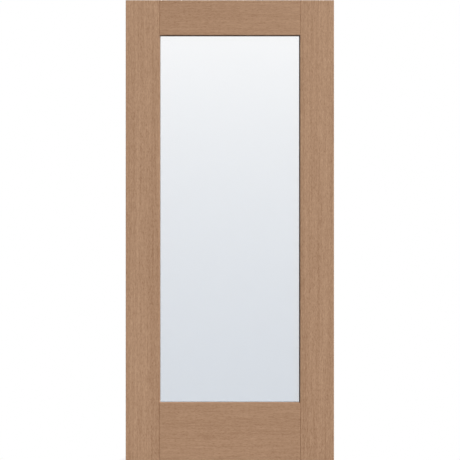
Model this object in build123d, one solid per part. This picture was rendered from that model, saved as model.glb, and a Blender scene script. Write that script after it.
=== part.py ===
from build123d import *
import os

# Fibreglass entrance door slab with one full-height insulated glass light. Two moulded skins close a frame
# of timber stiles and composite rails. A channel frame inside holds the sealed glass unit, and each skin
# turns in round the opening and runs down to the glass.
# Millimetres, +Z up. The hinge edge is the plane X = 0, the exterior faces -Y, and Z = 0 is the bottom edge.

# Slab
DOOR_WIDTH = 908.0
DOOR_HEIGHT = 2007.0
DOOR_THICKNESS = 44.5

# Visible widths of the stile and rail pattern round the glass
STILE_FACE = 147.0
TOP_RAIL_FACE = 152.0
BOTTOM_RAIL_FACE = 252.0

# Moulded skins
SKIN_THICKNESS = 3.0
SKIN_EDGE_ROUND = 1.0
STICKING_RUN = 3.2
STICKING_ROUND = 1.2
OPENING_CORNER_RADIUS = 4.0
TOE_CORNER_RADIUS = 2.0
JOINT_GROOVE_WIDTH = 2.8
JOINT_GROOVE_DEPTH = 1.4

# Timber and composite frame between the skins
HARDWOOD_EDGE_WIDTH = 16.0
TOP_RAIL_HEIGHT = 38.0
BOTTOM_RAIL_HEIGHT = 64.0

# Channel frame that holds the glass unit, measured outwards from the edge of the opening
CHANNEL_BACK = 39.0

# Sealed glass unit
GLASS_THICKNESS = 3.2
AIR_SPACE = 19.0
GLASS_COVER = 9.0
GLASS_EDGE_CLEARANCE = 4.0
SEAL_DEPTH = 5.0
SPACER_HEIGHT = 7.0
SPACER_WALL = 0.8
SPACER_SHOULDER = 2.5

# Glazing tape and setting blocks
TAPE_THICKNESS = 1.55
TAPE_WIDTH = 12.7
TAPE_REVEAL = 2.0
SETTING_BLOCK_LENGTH = 100.0
SETTING_BLOCK_INSET = 140.0

# Edges of the opening in the face of the skins
OPENING_LEFT = STILE_FACE
OPENING_RIGHT = DOOR_WIDTH - STILE_FACE
OPENING_BOTTOM = BOTTOM_RAIL_FACE
OPENING_TOP = DOOR_HEIGHT - TOP_RAIL_FACE
OPENING_WIDTH = OPENING_RIGHT - OPENING_LEFT
OPENING_HEIGHT = OPENING_TOP - OPENING_BOTTOM
OPENING_MIDDLE_X = (OPENING_LEFT + OPENING_RIGHT) / 2
OPENING_MIDDLE_Z = (OPENING_BOTTOM + OPENING_TOP) / 2

# Depths through the slab, as half thicknesses either side of its middle
HALF_DOOR = DOOR_THICKNESS / 2
HALF_CORE = HALF_DOOR - SKIN_THICKNESS
HALF_AIR = AIR_SPACE / 2
HALF_GLASS_UNIT = HALF_AIR + GLASS_THICKNESS
HALF_POCKET = HALF_GLASS_UNIT + TAPE_THICKNESS

# The sloped wall round the glass, and how far apart its two faces are along the face of the door
STICKING_DEPTH = HALF_DOOR - HALF_POCKET
STICKING_SLOPE_LENGTH = (STICKING_RUN**2 + STICKING_DEPTH**2) ** 0.5
STICKING_WALL = SKIN_THICKNESS * STICKING_SLOPE_LENGTH / STICKING_DEPTH

STILE_CORE_WIDTH = STILE_FACE - HARDWOOD_EDGE_WIDTH - CHANNEL_BACK
CORE_LEFT = HARDWOOD_EDGE_WIDTH + STILE_CORE_WIDTH
CORE_RIGHT = DOOR_WIDTH - CORE_LEFT


def face_plane(depth):
    """Plane parallel to the exterior face, centred on the opening, at a depth below that face."""
    origin = (OPENING_MIDDLE_X, depth - HALF_DOOR, OPENING_MIDDLE_Z)
    return Plane(origin=origin, x_dir=(1, 0, 0), z_dir=(0, -1, 0))


def slab(left, right, bottom, top, front, back):
    """Rectangular bar or sheet between two corners."""
    size = Box(right - left, back - front, top - bottom)
    return Pos((left + right) / 2, (front + back) / 2, (bottom + top) / 2) * size


def core_bar(left, right, bottom, top):
    """Bar that fills the space between the two skins."""
    return slab(left, right, bottom, top, -HALF_CORE, HALF_CORE)


def opening_funnel(grow):
    """Funnel from the opening in the exterior face down to the toe of the sticking, grown sideways."""
    outer = face_plane(0) * RectangleRounded(
        OPENING_WIDTH + 2 * grow, OPENING_HEIGHT + 2 * grow, OPENING_CORNER_RADIUS + grow
    )
    shrink = grow - STICKING_RUN
    toe = face_plane(STICKING_DEPTH) * RectangleRounded(
        OPENING_WIDTH + 2 * shrink, OPENING_HEIGHT + 2 * shrink, TOE_CORNER_RADIUS + grow
    )
    return loft([outer, toe], ruled=True)


def joint_groove(x, bottom, top):
    """V-shaped groove in the exterior face that marks the joint of a stile and a rail."""
    half_width = JOINT_GROOVE_WIDTH / 2
    section = Plane.XY.offset(bottom) * make_face(
        Polyline(
            (x - half_width, -HALF_DOOR),
            (x + half_width, -HALF_DOOR),
            (x, JOINT_GROOVE_DEPTH - HALF_DOOR),
            close=True,
        )
    )
    return extrude(section, top - bottom)


def exterior_face(skin):
    """The flat face of a skin that looks outwards."""
    return skin.faces().sort_by(Axis.Y)[0]


def moulded_skin():
    """Exterior skin: a sheet with rounded edges, a sloped return round the opening and joint grooves."""
    sheet = slab(0, DOOR_WIDTH, 0, DOOR_HEIGHT, -HALF_DOOR, -HALF_CORE)
    skin = sheet + opening_funnel(STICKING_WALL) - opening_funnel(0)

    skin = skin.fillet(STICKING_ROUND, exterior_face(skin).inner_wires()[0].edges())
    skin = skin.fillet(SKIN_EDGE_ROUND, exterior_face(skin).outer_wire().edges())

    groove_overrun = OPENING_CORNER_RADIUS / 2
    for x in (OPENING_LEFT, OPENING_RIGHT):
        skin -= joint_groove(x, 0, OPENING_BOTTOM + groove_overrun)
        skin -= joint_groove(x, OPENING_TOP - groove_overrun, DOOR_HEIGHT)
    return skin


def ring_sides(section, margin):
    """Four mitred bars round the opening, from a section given as (inwards, through the slab) points.

    The inward distance of the section starts from a rectangle that lies outside the opening by the margin.
    """
    left, right = OPENING_LEFT - margin, OPENING_RIGHT + margin
    bottom, top = OPENING_BOTTOM - margin, OPENING_TOP + margin
    reach = max(point.X for point in section.vertices())
    sides = {
        "left": (
            Plane(origin=(left, 0, bottom), x_dir=(1, 0, 0), z_dir=(0, 0, 1)),
            top - bottom,
            [(left, bottom), (left, top), (left + reach, top - reach), (left + reach, bottom + reach)],
        ),
        "right": (
            Plane(origin=(right, 0, top), x_dir=(-1, 0, 0), z_dir=(0, 0, -1)),
            top - bottom,
            [(right, bottom), (right, top), (right - reach, top - reach), (right - reach, bottom + reach)],
        ),
        "bottom": (
            Plane(origin=(right, 0, bottom), x_dir=(0, 0, 1), z_dir=(-1, 0, 0)),
            right - left,
            [(left, bottom), (right, bottom), (right - reach, bottom + reach), (left + reach, bottom + reach)],
        ),
        "top": (
            Plane(origin=(left, 0, top), x_dir=(0, 0, -1), z_dir=(1, 0, 0)),
            right - left,
            [(left, top), (right, top), (right - reach, top - reach), (left + reach, top - reach)],
        ),
    }
    bars = {}
    for side, (plane, length, corners) in sides.items():
        bar = extrude(plane * section, length)
        outline = Plane.XZ * make_face(Polyline(*corners, close=True))
        bars[side] = bar & extrude(outline, DOOR_THICKNESS, both=True)
    return bars


def section_of(*points):
    """Flat section through a bar, from its corner points."""
    return make_face(Polyline(*points, close=True))


def channel_section():
    """C-shaped section whose lips lie against the back of the two skins' sloped walls."""
    lip_at_skin = CHANNEL_BACK - STICKING_WALL + STICKING_RUN * SKIN_THICKNESS / STICKING_DEPTH
    lip_at_tape = CHANNEL_BACK - STICKING_WALL + STICKING_RUN
    web = CHANNEL_BACK - GLASS_COVER - GLASS_EDGE_CLEARANCE
    return section_of(
        (0, -HALF_CORE),
        (lip_at_skin, -HALF_CORE),
        (lip_at_tape, -HALF_POCKET),
        (web, -HALF_POCKET),
        (web, HALF_POCKET),
        (lip_at_tape, HALF_POCKET),
        (lip_at_skin, HALF_CORE),
        (0, HALF_CORE),
    )


def tape_section(front, back):
    """Strip of glazing tape between a pane and the toe of a skin, showing by its reveal."""
    inner = GLASS_COVER + STICKING_RUN + TAPE_REVEAL
    outer = inner - TAPE_WIDTH
    return section_of((outer, front), (inner, front), (inner, back), (outer, back))


def spacer_section():
    """Hollow spacer bar with cut-back shoulders on the side of the edge seal."""
    sight = SEAL_DEPTH + SPACER_HEIGHT
    shoulder = SEAL_DEPTH + SPACER_SHOULDER
    narrow = HALF_AIR - SPACER_SHOULDER
    solid = section_of(
        (SEAL_DEPTH, -narrow),
        (shoulder, -HALF_AIR),
        (sight, -HALF_AIR),
        (sight, HALF_AIR),
        (shoulder, HALF_AIR),
        (SEAL_DEPTH, narrow),
    )
    return solid - offset(solid, -SPACER_WALL, kind=Kind.INTERSECTION)


def seal_section():
    """Edge seal that fills the space between the panes outside the spacer bars."""
    shoulder = SEAL_DEPTH + SPACER_SHOULDER
    narrow = HALF_AIR - SPACER_SHOULDER
    return section_of(
        (0, -HALF_AIR),
        (shoulder, -HALF_AIR),
        (SEAL_DEPTH, -narrow),
        (SEAL_DEPTH, narrow),
        (shoulder, HALF_AIR),
        (0, HALF_AIR),
    )


def glass_pane(front, back):
    """One pane, reaching under the skins on all four sides."""
    return slab(
        OPENING_LEFT - GLASS_COVER,
        OPENING_RIGHT + GLASS_COVER,
        OPENING_BOTTOM - GLASS_COVER,
        OPENING_TOP + GLASS_COVER,
        front,
        back,
    )


def setting_block(middle_x):
    """Rubber block that carries the bottom edge of the glass unit on the channel."""
    glass_bottom = OPENING_BOTTOM - GLASS_COVER
    return slab(
        middle_x - SETTING_BLOCK_LENGTH / 2,
        middle_x + SETTING_BLOCK_LENGTH / 2,
        glass_bottom - GLASS_EDGE_CLEARANCE,
        glass_bottom,
        -HALF_GLASS_UNIT,
        HALF_GLASS_UNIT,
    )


def door_parts():
    """Every piece of the door by name."""
    exterior_skin = moulded_skin()
    parts = {
        "exterior_skin": exterior_skin,
        "interior_skin": mirror(exterior_skin, about=Plane.XZ),
        "hinge_stile_edge": core_bar(0, HARDWOOD_EDGE_WIDTH, 0, DOOR_HEIGHT),
        "hinge_stile_core": core_bar(HARDWOOD_EDGE_WIDTH, CORE_LEFT, 0, DOOR_HEIGHT),
        "lock_stile_core": core_bar(CORE_RIGHT, DOOR_WIDTH - HARDWOOD_EDGE_WIDTH, 0, DOOR_HEIGHT),
        "lock_stile_edge": core_bar(DOOR_WIDTH - HARDWOOD_EDGE_WIDTH, DOOR_WIDTH, 0, DOOR_HEIGHT),
        "top_rail": core_bar(CORE_LEFT, CORE_RIGHT, DOOR_HEIGHT - TOP_RAIL_HEIGHT, DOOR_HEIGHT),
        "bottom_rail": core_bar(CORE_LEFT, CORE_RIGHT, 0, BOTTOM_RAIL_HEIGHT),
        "foam_core_top": core_bar(
            CORE_LEFT, CORE_RIGHT, OPENING_TOP + CHANNEL_BACK, DOOR_HEIGHT - TOP_RAIL_HEIGHT
        ),
        "foam_core_bottom": core_bar(
            CORE_LEFT, CORE_RIGHT, BOTTOM_RAIL_HEIGHT, OPENING_BOTTOM - CHANNEL_BACK
        ),
        "exterior_pane": glass_pane(-HALF_GLASS_UNIT, -HALF_AIR),
        "interior_pane": glass_pane(HALF_AIR, HALF_GLASS_UNIT),
        "setting_block_left": setting_block(OPENING_LEFT + SETTING_BLOCK_INSET),
        "setting_block_right": setting_block(OPENING_RIGHT - SETTING_BLOCK_INSET),
    }
    rings = {
        "glazing_channel": ring_sides(channel_section(), CHANNEL_BACK),
        "spacer_bar": ring_sides(spacer_section(), GLASS_COVER),
        "edge_seal": ring_sides(seal_section(), GLASS_COVER),
        "exterior_tape": ring_sides(tape_section(-HALF_POCKET, -HALF_GLASS_UNIT), GLASS_COVER),
        "interior_tape": ring_sides(tape_section(HALF_GLASS_UNIT, HALF_POCKET), GLASS_COVER),
    }
    for name, bars in rings.items():
        for side, bar in bars.items():
            parts[f"{name}_{side}"] = bar
    return parts


os.makedirs("parts", exist_ok=True)
for name, piece in door_parts().items():
    export_step(piece, f"parts/{name}.step")
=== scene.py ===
import math
from collections import namedtuple
import bpy
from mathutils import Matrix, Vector


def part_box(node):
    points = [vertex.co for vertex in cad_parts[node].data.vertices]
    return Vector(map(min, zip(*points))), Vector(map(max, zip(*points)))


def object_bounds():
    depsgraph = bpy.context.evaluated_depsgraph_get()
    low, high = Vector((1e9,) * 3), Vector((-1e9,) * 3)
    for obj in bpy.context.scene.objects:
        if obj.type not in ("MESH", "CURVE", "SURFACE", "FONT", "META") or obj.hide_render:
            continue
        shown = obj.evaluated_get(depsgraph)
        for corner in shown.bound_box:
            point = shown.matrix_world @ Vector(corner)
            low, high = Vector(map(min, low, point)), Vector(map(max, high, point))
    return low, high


# The finishes of a glazed fibreglass entrance door, and the floor, light and camera that show it.

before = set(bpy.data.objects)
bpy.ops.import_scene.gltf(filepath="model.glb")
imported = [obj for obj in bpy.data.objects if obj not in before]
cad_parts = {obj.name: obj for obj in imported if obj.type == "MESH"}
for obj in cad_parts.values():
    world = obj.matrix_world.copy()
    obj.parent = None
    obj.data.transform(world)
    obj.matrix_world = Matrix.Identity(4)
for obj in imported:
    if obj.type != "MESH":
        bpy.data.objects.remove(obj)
cad_low, cad_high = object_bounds()

# All sizes are in metres, and MM makes metres of millimetres.
MM = 0.001

# The hinge edge of the door is at X = 0 and its foot at Z = 0. Its front looks along -Y.
DOOR_WIDTH = cad_high.x
DOOR_HEIGHT = cad_high.z
DOOR_FACE = cad_low.y

# Skins: a groove marks each joint of a stile and a rail.
JOINT_GROOVE_WIDTH = 2.8 * MM

# Timber cores: veneers of one thickness, glued face to face.
VENEER = 3.2 * MM

# Spacer bars: a row of breather holes on each side of the middle of the glass unit.
BREATHER_PITCH = 3 * MM
BREATHER_ROW = 5.5 * MM
BREATHER_RADIUS = 0.52 * MM
BREATHER_LIP = 0.1 * MM

# Opening: the panes reach past it, under the skins, by the glass cover.
GLASS_COVER = 9 * MM
pane_low, pane_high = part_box("exterior_pane")
opening_middle = (pane_low + pane_high) / 2
OPENING_HALF_WIDTH = (pane_high.x - pane_low.x) / 2 - GLASS_COVER
OPENING_HALF_HEIGHT = (pane_high.z - pane_low.z) / 2 - GLASS_COVER
OPENING_TOP = pane_high.z - GLASS_COVER

# Camera: a long lens straight in front. The slab is 460.5 pixels tall in a frame of 460, with its top edge
# 0.1 pixels inside the frame and its middle 0.16 pixels left of the frame's middle.
FRAME_PIXELS = 460
SLAB_PIXELS = 460.5
TOP_EDGE_PIXEL = 0.1
MIDDLE_SHIFT_PIXELS = 0.16
CAMERA_DISTANCE = 30.0
SENSOR_WIDTH = 36.0
CAMERA_REACH = 400.0

# Light: a soft key from the front, above and right, a like lamp for the back of the door, a low side lamp for
# the hinge edge, and a low even fill. The side lamp stands just behind the plane of the door, so that it
# leaves the walls round the glass alone.
Lamp = namedtuple("Lamp", "name come_from strength angle")
LAMPS = (
    Lamp("key", come_from=Vector((0.53, -0.66, 0.53)), strength=4.1, angle=math.radians(9)),
    Lamp("back", come_from=Vector((-0.15, 0.88, 0.44)), strength=3.2, angle=math.radians(12)),
    Lamp("side", come_from=Vector((-0.99, 0.045, 0.12)), strength=1.7, angle=math.radians(4)),
)
FILL = 0.10

# Floor: white to the eye, and dull to the light that it throws back. It is less bright of itself round the
# door, so that the shadow shows. The shadow fades out from the near to the far distance in front of the door
# and behind it, and several times as fast past its two ends.
FLOOR_SIZE = 600.0
FLOOR_BOUNCE = 0.08
FLOOR_NEAR_GREY = 0.3
SHADOW_NEAR = 0.05
SHADOW_FAR = 0.6
SHADOW_SIDE_FADE = 8
SHADOW_INSET = 0.03

SIDES = ("left", "right", "bottom", "top")


def shade(red, green, blue):
    """Scene colour of a paint chip given as screen values from 0 to 255."""
    chip = (channel / 255 for channel in (red, green, blue))
    return tuple(((c + 0.055) / 1.055) ** 2.4 if c > 0.04045 else c / 12.92 for c in chip) + (1.0,)


def grey(level):
    return (level, level, level, 1.0)


def strand(width, length):
    """Sizes of a mark in the grain: as thick as it is wide, and as long as given in the third direction."""
    return width, width, length


class Value:
    """What a node gives out. Where that is a number, each operator on it adds a Math node."""

    def __init__(self, recipe, socket):
        self.recipe = recipe
        self.socket = socket

    def math(self, operation, *numbers):
        return self.recipe.node("ShaderNodeMath", {"operation": operation}, dict(enumerate(numbers)))

    def __add__(self, other):
        return self.math("ADD", self, other)

    def __sub__(self, other):
        return self.math("SUBTRACT", self, other)

    def __rsub__(self, other):
        return self.math("SUBTRACT", other, self)

    def __mul__(self, other):
        return self.math("MULTIPLY", self, other)

    def __truediv__(self, other):
        return self.math("DIVIDE", self, other)

    def __pow__(self, other):
        return self.math("POWER", self, other)

    def __mod__(self, other):
        return self.math("FLOORED_MODULO", self, other)

    def __lt__(self, other):
        return self.math("LESS_THAN", self, other)

    def __gt__(self, other):
        return self.math("GREATER_THAN", self, other)

    def __abs__(self):
        return self.math("ABSOLUTE", self)

    def __floor__(self):
        return self.math("FLOOR", self)

    def least(self, other):
        return self.math("MINIMUM", self, other)

    def most(self, other):
        return self.math("MAXIMUM", self, other)

    __radd__ = __add__
    __rmul__ = __mul__


class Recipe:
    """The nodes of one finish, added call by call."""

    def __init__(self, owner):
        owner.use_nodes = True
        self.owner = owner
        self.tree = owner.node_tree
        self.tree.nodes.clear()

    def node(self, kind, settings=None, sockets=None, output=0):
        """Adds a node, sets it up, fills its sockets with values or links, and gives one of its outputs."""
        made = self.tree.nodes.new(kind)
        for name, setting in (settings or {}).items():
            setattr(made, name, setting)
        for name, value in (sockets or {}).items():
            if isinstance(value, Value):
                self.tree.links.new(value.socket, made.inputs[name])
            else:
                made.inputs[name].default_value = value
        return Value(self, made.outputs[output]) if made.outputs else None

    def place(self):
        """X, Y and Z of a point of the surface, in metres."""
        point = self.node("ShaderNodeTexCoord", output="Object")
        return [self.node("ShaderNodeSeparateXYZ", sockets={"Vector": point}, output=axis) for axis in "XYZ"]

    def measured(self, place, sizes):
        """A place counted in marks of the given sizes, one size for each of its three directions."""
        x, y, z = (distance / size for distance, size in zip(place, sizes))
        return self.node("ShaderNodeCombineXYZ", sockets={"X": x, "Y": y, "Z": z})

    def noise(self, place, sizes, detail=1.0, roughness=0.5):
        """Cloudy noise either side of 0, in marks of the given sizes."""
        point = self.measured(place, sizes)
        sockets = {"Vector": point, "Scale": 1.0, "Detail": detail, "Roughness": roughness}
        return self.node("ShaderNodeTexNoise", sockets=sockets) - 0.5

    def cells(self, place, sizes):
        """Distance from the middle of the nearest of many scattered cells of the given sizes."""
        sockets = {"Vector": self.measured(place, sizes), "Scale": 1.0}
        return self.node("ShaderNodeTexVoronoi", sockets=sockets, output="Distance")

    def chance(self, number):
        """A number from 0 to 1 that jumps from each whole number to the next."""
        return self.node("ShaderNodeTexWhiteNoise", {"noise_dimensions": "1D"}, {"W": number})

    def ramp(self, value, low, high):
        """0 at low, 1 at high, and a smooth step between."""
        sockets = {"Value": value, "From Min": low, "From Max": high}
        return self.node("ShaderNodeMapRange", {"interpolation_type": "SMOOTHSTEP"}, sockets)

    def blend(self, factor, first, second):
        """Colour between two colours."""
        return self.node("ShaderNodeMix", {"data_type": "RGBA"}, {0: factor, 6: first, 7: second}, output=2)

    def bump(self, height, depth):
        """Normal of a surface whose height runs over the given depth in metres."""
        return self.node("ShaderNodeBump", sockets={"Height": height, "Strength": 1.0, "Distance": depth})

    def surface(self, colour, roughness, specular=0.5, metallic=0.0, alpha=1.0, normal=None):
        """The surface of a solid. Specular is its sheen, and alpha how far it hides what is behind it."""
        sockets = {
            "Base Color": colour,
            "Roughness": roughness,
            "Specular IOR Level": specular,
            "Metallic": metallic,
            "Alpha": alpha,
        }
        if normal is not None:
            sockets["Normal"] = normal
        return self.node("ShaderNodeBsdfPrincipled", sockets=sockets)

    def mix_shaders(self, factor, first, second):
        return self.node("ShaderNodeMixShader", sockets={0: factor, 1: first, 2: second})

    def done(self, shader):
        is_world = isinstance(self.owner, bpy.types.World)
        kind = "ShaderNodeOutputWorld" if is_world else "ShaderNodeOutputMaterial"
        self.node(kind, sockets={"Surface": shader})
        return self.owner


def new_recipe(name):
    return Recipe(bpy.data.materials.new(name))


def past_opening(x, z):
    """How far a point lies past the sides of the opening, and past its top or bottom. Inside is below 0."""
    beside = abs(x - opening_middle.x) - OPENING_HALF_WIDTH
    above = abs(z - opening_middle.z) - OPENING_HALF_HEIGHT
    return beside, above


def place_on_bar(recipe):
    """Distances across, through and along the bars of a mitred frame round the opening."""
    x, y, z = recipe.place()
    beside, above = past_opening(x, z)
    upright = beside > above
    across = upright * x + (1 - upright) * z
    along = upright * z + (1 - upright) * x
    return across, y, along


def moulded_skin():
    """Satin tan fibreglass from a wood-grained mould: the grain runs up the stiles and along the rails."""
    dark = shade(141, 105, 78)
    pale = shade(192, 157, 128)
    line_on_stile = 320 * MM
    line_on_rail = 156 * MM

    recipe = new_recipe("moulded_skin")
    x, y, z = recipe.place()
    beside, above = past_opening(x, z)
    on_stile = beside > above.least(0)
    on_rail = 1 - on_stile
    on_top_rail = on_rail * (z > opening_middle.z)
    # Painted shade: the slope round the glass is given a darker colour than the rest of the skin.
    slope_painted_shade = beside.most(above) < 0
    in_joint = (abs(beside) < JOINT_GROOVE_WIDTH / 2) * (above > 0)

    # The grain wanders a little, and is made of bands, lines, streaks, flecks, pores and fine ticks.
    across = on_stile * x + on_rail * z
    along = on_stile * z + on_rail * x
    wander = 8 * MM * recipe.noise((across, y, along), strand(200 * MM, 830 * MM))
    place = (across + wander, y, along)
    bands = recipe.noise(place, strand(30 * MM, 900 * MM), detail=2, roughness=0.6)
    lines = recipe.noise(place, strand(4.8 * MM, on_stile * line_on_stile + on_rail * line_on_rail))
    streaks = recipe.noise(place, strand(3.8 * MM, 38 * MM))
    flecks = recipe.noise(place, strand(3 * MM, 11 * MM), detail=2, roughness=0.6)
    pores = recipe.ramp(recipe.noise(place, strand(1.6 * MM, 13 * MM)), 0.06, 0.20)
    ticks = recipe.ramp(recipe.noise(place, strand(0.6 * MM, 5.3 * MM)), 0.04, 0.20)
    grain = 0.5 * lines + 0.5 * streaks + 0.95 * flecks - 0.35 * pores - 0.25 * ticks

    # The tone runs from 0, dark, to 1, pale. The stiles are palest along their middle and darken downwards,
    # and the top rail grows paler to the right. The joints are darker. The slope round the glass is darker
    # too, as painted shade.
    stile_middle = recipe.ramp(beside, 10 * MM, 50 * MM) - 0.5 * recipe.ramp(beside, 100 * MM, 145 * MM)
    down = 1 - z / DOOR_HEIGHT
    tone = 0.6 + on_stile * (grain + 0.45 * bands) + on_rail * (0.74 * grain + 0.2 * bands)
    tone = tone + on_stile * (0.07 * stile_middle - 0.09 * down) - 0.075 * on_rail
    tone = tone + on_top_rail * (0.12 * x / DOOR_WIDTH - 0.04)
    tone = tone - 0.06 * in_joint - 0.22 * slope_painted_shade
    shader = recipe.surface(
        colour=recipe.blend(tone, dark, pale),
        roughness=0.56 + 0.2 * pores + 0.15 * flecks,
        specular=0.12,
        normal=recipe.bump(0.4 * flecks + 0.3 * lines - pores - 0.4 * ticks, 0.15 * MM),
    )
    return recipe.done(shader)


def clear_glass():
    """Clear glass, fully glossy, with a faint blue-grey tint that deepens down the door as painted
    reflection.
    """
    blue_grey = shade(89, 127, 162)
    body_at_top = 0.022
    painted_reflection_gained = 0.114
    painted_reflection_eased = 0.024
    mirrored_head_on = 0.04

    recipe = new_recipe("clear_glass")
    _, _, z = recipe.place()
    down = (OPENING_TOP - z) / (2 * OPENING_HALF_HEIGHT)
    # Painted reflection: the tint grows deeper towards the foot of the glass, as a reflection of the
    # surroundings would.
    tint_and_painted_reflection = body_at_top + down * (painted_reflection_gained - painted_reflection_eased * down)
    body = recipe.surface(colour=blue_grey, roughness=0.4, specular=0.0, alpha=tint_and_painted_reflection)
    gloss = recipe.node("ShaderNodeBsdfGlossy", sockets={"Color": grey(1), "Roughness": 0.0})
    slant = recipe.node("ShaderNodeLayerWeight", sockets={"Blend": 0.5}, output="Facing")
    mirrored = mirrored_head_on + (1 - mirrored_head_on) * slant**5
    return recipe.done(recipe.mix_shaders(mirrored, body, gloss))


def hardwood_edge():
    """Planed bare hardwood with its grain up the door, and rings and pores where it is cut across."""
    dark = shade(152, 115, 78)
    pale = shade(205, 170, 129)
    heart_from_middle = 300 * MM
    heart_behind = 70 * MM

    recipe = new_recipe("hardwood_edge")
    place = x, y, _ = recipe.place()
    drift = 6 * MM * recipe.noise(place, strand(330 * MM, 770 * MM))
    beside_heart = abs(x - opening_middle.x) - heart_from_middle + drift
    before_heart = y - heart_behind + drift
    from_heart = (beside_heart**2 + before_heart**2) ** 0.5
    rings = recipe.noise((from_heart, 0, 0), strand(2.4 * MM, 1))
    fibres = recipe.noise(place, strand(1.4 * MM, 45 * MM), detail=2, roughness=0.6)
    pores = recipe.ramp(recipe.noise(place, strand(0.77 * MM, 25 * MM)), 0.12, 0.22)
    shader = recipe.surface(
        colour=recipe.blend(0.5 + 0.9 * rings + 0.6 * fibres - 0.3 * pores, dark, pale),
        roughness=0.74 + 0.15 * fibres + 0.15 * pores,
        specular=0.03,
        normal=recipe.bump(0.5 * fibres - pores, 0.1 * MM),
    )
    return recipe.done(shader)


def laminated_core():
    """Veneers glued face to face: a tone for each veneer, dark glue lines, and fine grain up the door."""
    dark = shade(142, 109, 74)
    pale = shade(200, 168, 128)
    glue_brown = shade(92, 62, 44)

    recipe = new_recipe("laminated_core")
    place = _, y, _ = recipe.place()
    layer = y / VENEER + 0.5
    tint = recipe.chance(math.floor(layer)) - 0.5
    glue = recipe.ramp(abs(layer % 1 - 0.5), 0.44, 0.48)
    grain = recipe.noise(place, (6.2 * MM, 0.67 * MM, 71 * MM), detail=2, roughness=0.6)
    checks = recipe.ramp(recipe.noise(place, (0.9 * MM, 2 * MM, 33 * MM)), 0.15, 0.22)
    wood = recipe.blend(0.55 + 0.5 * tint + 0.8 * grain - 0.35 * checks, dark, pale)
    shader = recipe.surface(
        colour=recipe.blend(glue, wood, glue_brown),
        roughness=0.8 + 0.2 * grain,
        specular=0.0,
        normal=recipe.bump(grain - 0.6 * glue - 0.8 * checks, 0.15 * MM),
    )
    return recipe.done(shader)


def composite_rail():
    """Extruded composite: pale specks and dark chips in a grey-tan body, with faint lines along the bar."""
    dark = shade(128, 112, 92)
    pale = shade(178, 163, 141)

    recipe = new_recipe("composite_rail")
    place = recipe.place()
    lines = recipe.noise(place, (250 * MM, 1.1 * MM, 1.1 * MM))
    flakes = recipe.noise(place, (3.8 * MM, 1.4 * MM, 1.4 * MM), detail=2, roughness=0.7)
    chips = recipe.ramp(flakes, 0.08, 0.24)
    specks = recipe.ramp(recipe.cells(place, (2 * MM, 1.1 * MM, 1.1 * MM)), 0.30, 0.12)
    clouds = recipe.noise(place, (33 * MM, 17 * MM, 17 * MM), detail=2)
    shader = recipe.surface(
        colour=recipe.blend(0.5 + 0.5 * clouds + 0.4 * lines + 0.25 * specks - 0.35 * chips, dark, pale),
        roughness=0.78 + 0.3 * lines + 0.1 * chips,
        specular=0.0,
        normal=recipe.bump(lines + 0.3 * specks - 0.3 * chips, 0.08 * MM),
    )
    return recipe.done(shader)


def foam_core():
    """Rigid foam cut through its small closed cells."""
    dark = shade(196, 178, 128)
    pale = shade(236, 224, 184)

    recipe = new_recipe("foam_core")
    place = recipe.place()
    cell = recipe.ramp(recipe.cells(place, strand(1.1 * MM, 1.1 * MM)), 0.2, 0.8)
    clouds = recipe.noise(place, strand(25 * MM, 25 * MM), detail=2)
    shader = recipe.surface(
        colour=recipe.blend(0.5 + 0.5 * cell + 0.6 * clouds, dark, pale),
        roughness=0.85 + 0.1 * clouds,
        specular=0.1,
        normal=recipe.bump(cell, 0.3 * MM),
    )
    return recipe.done(shader)


def glazing_channel():
    """Extruded brown channel with drawn lines along each bar."""
    dark = shade(104, 84, 66)
    pale = shade(150, 126, 103)

    recipe = new_recipe("glazing_channel")
    place = place_on_bar(recipe)
    lines = recipe.noise(place, strand(0.83 * MM, 330 * MM))
    clouds = recipe.noise(place, strand(25 * MM, 83 * MM), detail=2)
    shader = recipe.surface(
        colour=recipe.blend(0.5 + 0.6 * lines + 0.6 * clouds, dark, pale),
        roughness=0.5 + 0.25 * lines,
        specular=0.35,
        normal=recipe.bump(lines, 0.06 * MM),
    )
    return recipe.done(shader)


def spacer_aluminium():
    """Dull aluminium drawn along the bar, with two rows of breather holes towards the air space."""
    dark = shade(140, 142, 145)
    pale = shade(176, 178, 181)
    inside_hole = shade(40, 40, 42)

    recipe = new_recipe("spacer_aluminium")
    place = _, through, along = place_on_bar(recipe)
    lines = recipe.noise(place, strand(0.63 * MM, 200 * MM), detail=2, roughness=0.6)
    from_hole = along % BREATHER_PITCH - BREATHER_PITCH / 2
    from_row = abs(through) - BREATHER_ROW
    from_middle = (from_hole**2 + from_row**2) ** 0.5
    hole = recipe.ramp(from_middle, BREATHER_RADIUS + BREATHER_LIP, BREATHER_RADIUS - BREATHER_LIP)
    drawn = recipe.blend(0.5 + lines, dark, pale)
    shader = recipe.surface(
        colour=recipe.blend(hole, drawn, inside_hole),
        roughness=0.75 + 0.3 * lines + 0.2 * hole,
        metallic=1 - hole,
        normal=recipe.bump(0.2 * lines - hole, 0.1 * MM),
    )
    return recipe.done(shader)


def edge_seal():
    """Tooled dark sealant, slightly uneven along the edge."""
    dark = shade(38, 38, 40)
    pale = shade(58, 58, 60)

    recipe = new_recipe("edge_seal")
    strokes = recipe.noise(place_on_bar(recipe), strand(3.8 * MM, 40 * MM), detail=2)
    shader = recipe.surface(
        colour=recipe.blend(0.5 + strokes, dark, pale),
        roughness=0.55 + 0.4 * strokes,
        specular=0.4,
        normal=recipe.bump(strokes, 0.3 * MM),
    )
    return recipe.done(shader)


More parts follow.
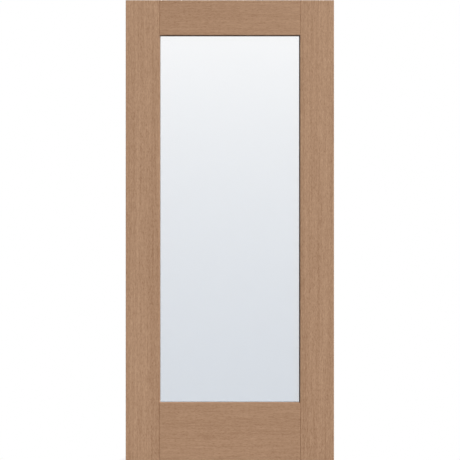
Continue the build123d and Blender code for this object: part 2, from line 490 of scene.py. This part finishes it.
def glazing_tape():
    """Grey closed-cell tape with a fine skin."""
    dark = shade(144, 146, 148)
    pale = shade(186, 189, 192)

    recipe = new_recipe("glazing_tape")
    place = place_on_bar(recipe)
    cell = recipe.ramp(recipe.cells(place, strand(0.4 * MM, 0.56 * MM)), 0.1, 0.8)
    clouds = recipe.noise(place, strand(11 * MM, 25 * MM), detail=2)
    shader = recipe.surface(
        colour=recipe.blend(0.35 + 0.3 * cell + 0.8 * clouds, dark, pale),
        roughness=0.78 + 0.2 * clouds,
        specular=0.2,
        normal=recipe.bump(cell, 0.08 * MM),
    )
    return recipe.done(shader)


def setting_rubber():
    """Dense black rubber with a moulded grain."""
    dark = shade(27, 27, 29)
    pale = shade(46, 46, 48)

    recipe = new_recipe("setting_rubber")
    grain = recipe.noise(recipe.place(), strand(0.9 * MM, 0.9 * MM), detail=3, roughness=0.6)
    shader = recipe.surface(
        colour=recipe.blend(0.5 + grain, dark, pale),
        roughness=0.66 + 0.3 * grain,
        specular=0.35,
        normal=recipe.bump(grain, 0.08 * MM),
    )
    return recipe.done(shader)


def paint(material, *names):
    for name in names:
        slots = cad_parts[name].data.materials
        slots.clear()
        slots.append(material)


def paint_ring(material, name):
    paint(material, *(f"{name}_{side}" for side in SIDES))


def paint_door():
    paint(moulded_skin(), "exterior_skin", "interior_skin")
    paint(clear_glass(), "exterior_pane", "interior_pane")
    paint(hardwood_edge(), "hinge_stile_edge", "lock_stile_edge")
    paint(laminated_core(), "hinge_stile_core", "lock_stile_core")
    paint(composite_rail(), "top_rail", "bottom_rail")
    paint(foam_core(), "foam_core_top", "foam_core_bottom")
    paint(setting_rubber(), "setting_block_left", "setting_block_right")
    paint_ring(glazing_channel(), "glazing_channel")
    paint_ring(spacer_aluminium(), "spacer_bar")
    paint_ring(edge_seal(), "edge_seal")
    tape = glazing_tape()
    paint_ring(tape, "exterior_tape")
    paint_ring(tape, "interior_tape")


def shown_plainly(recipe):
    """1 for rays from the camera, from a mirror or through glass, and 0 for those that carry light about."""
    kinds = ("Is Camera Ray", "Is Glossy Ray", "Is Transmission Ray")
    camera, glossy, through = (recipe.node("ShaderNodeLightPath", output=kind) for kind in kinds)
    return camera.most(glossy).most(through)


def floor_light():
    """Light on the open floor, where 1 makes a surface as bright as its colour."""
    return sum(lamp.strength * lamp.come_from.normalized().z for lamp in LAMPS) / math.pi + FILL


def floor_finish():
    """White floor that keeps the shadow of the door near its foot."""
    recipe = new_recipe("floor")
    x, y, _ = recipe.place()
    beside = abs(x - opening_middle.x) - DOOR_WIDTH / 2 + SHADOW_INSET
    from_foot = ((SHADOW_SIDE_FADE * beside.most(0)) ** 2 + y**2) ** 0.5
    away = recipe.ramp(from_foot, SHADOW_NEAR, SHADOW_FAR)

    glow = 1 - FLOOR_NEAR_GREY * floor_light()
    near_glow = recipe.node("ShaderNodeEmission", sockets={"Color": grey(1), "Strength": glow})
    near_lit = recipe.node("ShaderNodeBsdfDiffuse", sockets={"Color": grey(FLOOR_NEAR_GREY)})
    near = recipe.node("ShaderNodeAddShader", sockets={0: near_glow, 1: near_lit})
    far = recipe.node("ShaderNodeEmission", sockets={"Color": grey(1), "Strength": 1.0})
    dull = recipe.node("ShaderNodeBsdfDiffuse", sockets={"Color": grey(FLOOR_BOUNCE)})
    white = recipe.mix_shaders(away, near, far)
    return recipe.done(recipe.mix_shaders(shown_plainly(recipe), dull, white))


def make_floor():
    half = FLOOR_SIZE / 2
    corners = [(-half, -half, 0), (half, -half, 0), (half, half, 0), (-half, half, 0)]
    mesh = bpy.data.meshes.new("floor")
    mesh.from_pydata(corners, [], [(0, 1, 2, 3)])
    mesh.materials.append(floor_finish())
    floor = bpy.data.objects.new("floor", mesh)
    bpy.context.scene.collection.objects.link(floor)


def make_world():
    recipe = Recipe(bpy.data.worlds.new("studio"))
    fill = recipe.node("ShaderNodeBackground", sockets={"Color": grey(1), "Strength": FILL})
    white = recipe.node("ShaderNodeBackground", sockets={"Color": grey(1), "Strength": 1.0})
    bpy.context.scene.world = recipe.done(recipe.mix_shaders(shown_plainly(recipe), fill, white))


def make_sun(lamp):
    data = bpy.data.lights.new(lamp.name, "SUN")
    data.energy = lamp.strength
    data.angle = lamp.angle
    sun = bpy.data.objects.new(lamp.name, data)
    sun.rotation_mode = "QUATERNION"
    sun.rotation_quaternion = (-lamp.come_from).to_track_quat("-Z", "Y")
    bpy.context.scene.collection.objects.link(sun)


def make_camera():
    pixel = DOOR_HEIGHT / SLAB_PIXELS
    data = bpy.data.cameras.new("camera")
    data.sensor_width = SENSOR_WIDTH
    data.lens = SENSOR_WIDTH * CAMERA_DISTANCE / (FRAME_PIXELS * pixel)
    data.clip_end = CAMERA_REACH
    camera = bpy.data.objects.new("camera", data)
    camera.location = (
        DOOR_WIDTH / 2 + MIDDLE_SHIFT_PIXELS * pixel,
        DOOR_FACE - CAMERA_DISTANCE,
        DOOR_HEIGHT - (FRAME_PIXELS / 2 - TOP_EDGE_PIXEL) * pixel,
    )
    camera.rotation_euler = (math.radians(90), 0, 0)
    bpy.context.scene.collection.objects.link(camera)
    bpy.context.scene.camera = camera


paint_door()
make_floor()
make_world()
for lamp in LAMPS:
    make_sun(lamp)
make_camera()
bpy.context.scene.view_settings.view_transform = "Standard"
